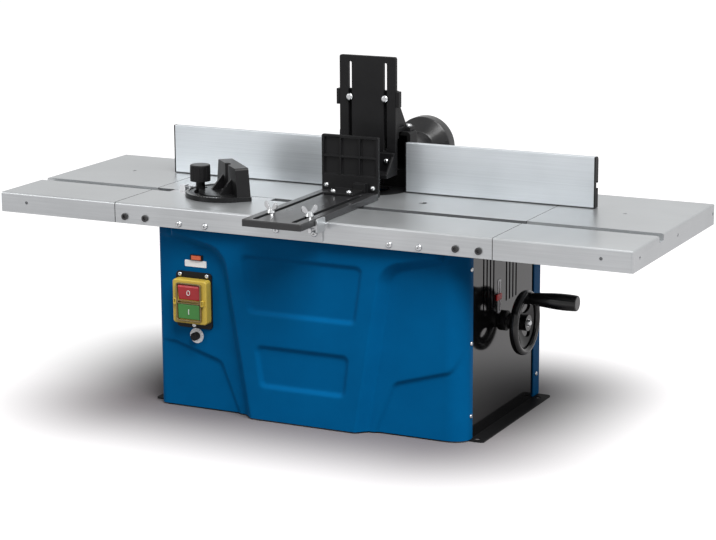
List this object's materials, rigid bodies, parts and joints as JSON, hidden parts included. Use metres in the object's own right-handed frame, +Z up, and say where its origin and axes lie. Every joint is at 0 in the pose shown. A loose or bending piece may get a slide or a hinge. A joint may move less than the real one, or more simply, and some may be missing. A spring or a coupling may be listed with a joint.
{
  "type": "bench-top spindle moulder",
  "caption": "Bench-top spindle moulder: pressed cabinet with bolt-down feet, folded steel table with extensions, split fence, guard, pressing arm, mitre gauge and height handwheel.",
  "frame": {"origin": "on the floor plane in the middle of the four foot holes", "axes": "+X along the table to the handwheel side, -Y towards the operator, +Z up"},
  "size_m": [1.02, 0.473, 0.521],
  "materials": {
    "blue_paint": "semi-gloss powder coat",
    "black_panel": "gloss enamel",
    "table_steel": "zinc plated sheet",
    "bright_steel": "bright zinc",
    "black_steel": "black oxide",
    "turned_steel": "turned steel",
    "fence_aluminium": "brushed extrusion",
    "black_plastic": "moulded",
    "wheel_plastic": "polished moulding",
    "cast_alloy": "die cast",
    "switch_yellow": "moulded",
    "stop_red": "moulded",
    "start_green": "moulded",
    "reset_orange": "moulded",
    "label_white": "blank film",
    "pointer_red": "painted strip"
  },
  "bodies": {
    "stand": {"front_cover": "blue_paint", "rear_cover": "blue_paint", "left_side_panel": "black_panel", "right_side_panel": "black_panel", "main_table": "table_steel", "left_extension_table": "table_steel", "right_extension_table": "table_steel", "insert_ring": "black_plastic", "joint_screws": "black_steel", "skirt_screws": "bright_steel", "cover_screws": "bright_steel", "height_scale": "label_white", "switch_plate": "black_plastic", "switch_box": "switch_yellow", "switch_screws": "bright_steel", "label_plate": "label_white", "dial_ring": "label_white", "fence_hood": "black_plastic", "dust_port": "black_plastic", "fence_bolts": "turned_steel", "guard_support": "black_plastic", "guard_screws": "bright_steel", "arm_bracket": "bright_steel", "shaft_bush": "black_plastic", "lift_frame": "turned_steel", "cable_gland": "black_plastic"},
    "wheel": {"handwheel": "wheel_plastic", "wheel_screws": "bright_steel", "wheel_shaft": "turned_steel"},
    "grip": {"crank_grip": "wheel_plastic"},
    "screw": {"lead_screw": "turned_steel"},
    "lift": {"carriage": "cast_alloy", "motor_housing": "cast_alloy", "height_pointer": "pointer_red"},
    "spindle": {"spindle_shaft": "turned_steel", "collet_nut": "turned_steel"},
    "fence_left": {"left_fence": "fence_aluminium", "left_fence_caps": "black_plastic"},
    "fence_right": {"right_fence": "fence_aluminium", "right_fence_caps": "black_plastic"},
    "knob_left": {"left_fence_knob": "black_plastic"},
    "knob_right": {"right_fence_knob": "black_plastic"},
    "guard": {"guard_plate": "black_plastic", "guard_shoe": "black_plastic", "guard_shoe_screws": "bright_steel"},
    "arm": {"press_arm": "black_plastic", "press_shoe": "black_plastic", "shoe_screws": "bright_steel"},
    "wing_left": {"left_wing_screw": "bright_steel"},
    "wing_right": {"right_wing_screw": "bright_steel"},
    "mitre_slider": {"mitre_bar": "turned_steel"},
    "mitre_fence": {"mitre_head": "black_plastic"},
    "mitre_clamp": {"mitre_knob": "black_plastic"},
    "stop_key": {"stop_button": "stop_red"},
    "start_key": {"start_button": "start_green"},
    "reset_key": {"reset_button": "reset_orange"},
    "speed_dial": {"speed_knob": "black_plastic"}
  },
  "joints": [
    {"name": "handwheel_turn", "type": "hinge", "parent": "stand", "child": "wheel", "pos_m": [0.27, 0, 0.15], "axis": [1, 0, 0], "range_deg": [-1801, 1801]},
    {"name": "grip_spin", "type": "hinge", "parent": "wheel", "child": "grip", "pos_m": [0.288, 0, 0.187], "axis": [1, 0, 0], "continuous": true},
    {"name": "lead_screw_turn", "type": "hinge", "parent": "stand", "child": "screw", "pos_m": [0, 0, 0.2], "axis": [0, 0, 1], "range_deg": [-1801, 1801]},
    {"name": "carriage_lift", "type": "slide", "parent": "stand", "child": "lift", "axis": [0, 0, 1], "range_m": [-0.02, 0.02]},
    {"name": "spindle_spin", "type": "hinge", "parent": "lift", "child": "spindle", "pos_m": [0, 0.08, 0.33], "axis": [0, 0, 1], "continuous": true},
    {"name": "left_fence_slide", "type": "slide", "parent": "stand", "child": "fence_left", "axis": [1, 0, 0], "range_m": [-0.05, 0.018]},
    {"name": "right_fence_slide", "type": "slide", "parent": "stand", "child": "fence_right", "axis": [1, 0, 0], "range_m": [-0.034, 0.05]},
    {"name": "left_fence_knob_turn", "type": "hinge", "parent": "stand", "child": "knob_left", "pos_m": [-0.11, 0.095, 0.3475], "axis": [0, 1, 0], "range_deg": [-180, 180]},
    {"name": "right_fence_knob_turn", "type": "hinge", "parent": "stand", "child": "knob_right", "pos_m": [0.11, 0.095, 0.3475], "axis": [0, 1, 0], "range_deg": [-180, 180]},
    {"name": "guard_slide", "type": "slide", "parent": "stand", "child": "guard", "axis": [0, 0, 1], "range_m": [-0.024, 0.07]},
    {"name": "arm_slide", "type": "slide", "parent": "stand", "child": "arm", "axis": [0, 1, 0], "range_m": [-0.135, 0.016]},
    {"name": "left_wing_turn", "type": "hinge", "parent": "stand", "child": "wing_left", "pos_m": [-0.031, -0.197, 0.326], "axis": [0, 0, 1], "range_deg": [-180, 180]},
    {"name": "right_wing_turn", "type": "hinge", "parent": "stand", "child": "wing_right", "pos_m": [0.031, -0.197, 0.326], "axis": [0, 0, 1], "range_deg": [-180, 180]},
    {"name": "mitre_slide", "type": "slide", "parent": "stand", "child": "mitre_slider", "axis": [1, 0, 0], "range_m": [-0.23, 0.06]},
    {"name": "mitre_head_turn", "type": "hinge", "parent": "mitre_slider", "child": "mitre_fence", "pos_m": [-0.18, -0.063, 0.317], "axis": [0, 0, 1], "range_deg": [-104, 14]},
    {"name": "mitre_knob_turn", "type": "hinge", "parent": "mitre_slider", "child": "mitre_clamp", "pos_m": [-0.225, -0.063, 0.344], "axis": [0, 0, 1], "range_deg": [-180, 180]},
    {"name": "stop_press", "type": "slide", "parent": "stand", "child": "stop_key", "axis": [0, 1, 0], "range_m": [0, 0.003], "stiffness_N_per_m": 400, "springref_m": -0.001},
    {"name": "start_press", "type": "slide", "parent": "stand", "child": "start_key", "axis": [0, 1, 0], "range_m": [0, 0.003], "stiffness_N_per_m": 400, "springref_m": -0.001},
    {"name": "reset_press", "type": "slide", "parent": "stand", "child": "reset_key", "axis": [0, 1, 0], "range_m": [0, 0.002], "stiffness_N_per_m": 300, "springref_m": -0.001},
    {"name": "speed_turn", "type": "hinge", "parent": "stand", "child": "speed_dial", "pos_m": [-0.184, -0.158, 0.1151], "axis": [0, -1, 0], "range_deg": [-150, 150]}
  ],
  "couplings": [
    {"joint": "lead_screw_turn", "follows": "carriage_lift", "rad_per_m": 1570.8},
    {"joint": "handwheel_turn", "follows": "carriage_lift", "rad_per_m": 1570.8}
  ]
}
